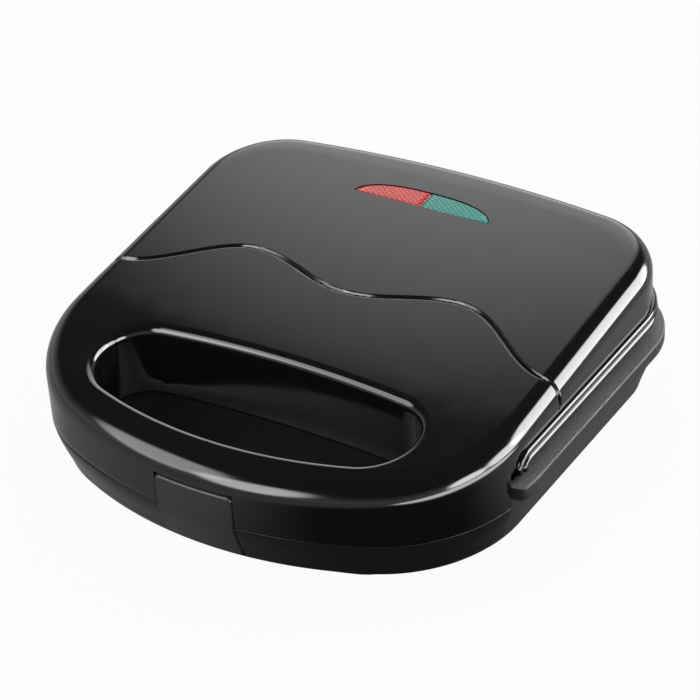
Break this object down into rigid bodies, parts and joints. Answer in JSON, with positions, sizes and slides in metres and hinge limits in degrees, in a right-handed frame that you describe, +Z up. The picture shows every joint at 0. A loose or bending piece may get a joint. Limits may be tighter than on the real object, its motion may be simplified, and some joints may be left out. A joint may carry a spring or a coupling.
{
  "type": "sandwich maker",
  "caption": "Countertop sandwich maker: hinged lid with a hand slot and wave groove, fixed base, swinging front clip and pocketed plates.",
  "frame": {"origin": "table plane under the middle of the machine", "axes": "+X to the machine's right seen from the front, -Y toward the user at the clip, +Z up"},
  "size_m": [0.23, 0.22, 0.0799],
  "materials": {
    "gloss_black": "polished moulding",
    "spark_black": "fine spark texture, polished at the grip",
    "clip_grey": "satin",
    "red_lens": "translucent red, prismatic underside",
    "green_lens": "translucent green, prismatic underside",
    "plate_coating": "non-stick coating on cast aluminium",
    "element_steel": "annealed sheath",
    "sheet_steel": "bright sheet",
    "pin_steel": "turned, bright",
    "foot_rubber": "matte",
    "holder_white": "heat-resistant white",
    "lamp_glass": "clear bulb",
    "ceramic_white": "unglazed"
  },
  "bodies": {
    "base": {"lower_shell": "spark_black", "lower_plate": "plate_coating", "lower_element": "element_steel", "lower_reflector": "sheet_steel", "thermal_fuse": "sheet_steel", "hinge_pin_left": "pin_steel", "hinge_pin_right": "pin_steel", "screw_front_left": "pin_steel", "screw_front_right": "pin_steel", "screw_rear_left": "pin_steel", "screw_rear_right": "pin_steel", "foot_front_left": "foot_rubber", "foot_front_right": "foot_rubber", "foot_rear_left": "foot_rubber", "foot_rear_right": "foot_rubber", "thermostat": "ceramic_white", "terminal_block": "ceramic_white"},
    "lid": {"upper_shell": "gloss_black", "red_lens": "red_lens", "green_lens": "green_lens", "red_lamp": "lamp_glass", "green_lamp": "lamp_glass", "lamp_holder": "holder_white", "upper_plate": "plate_coating", "upper_element": "element_steel", "upper_reflector": "sheet_steel", "latch_pin": "pin_steel"},
    "latch": {"latch_clip": "clip_grey"}
  },
  "joints": [
    {"name": "lid_hinge", "type": "hinge", "parent": "base", "child": "lid", "pos_m": [0, 0.1048, 0.04565], "axis": [-1, 0, 0], "range_deg": [0, 100]},
    {"name": "latch_pivot", "type": "hinge", "parent": "lid", "child": "latch", "pos_m": [0, -0.1061, 0.0427], "axis": [-1, 0, 0], "range_deg": [0, 60]}
  ]
}
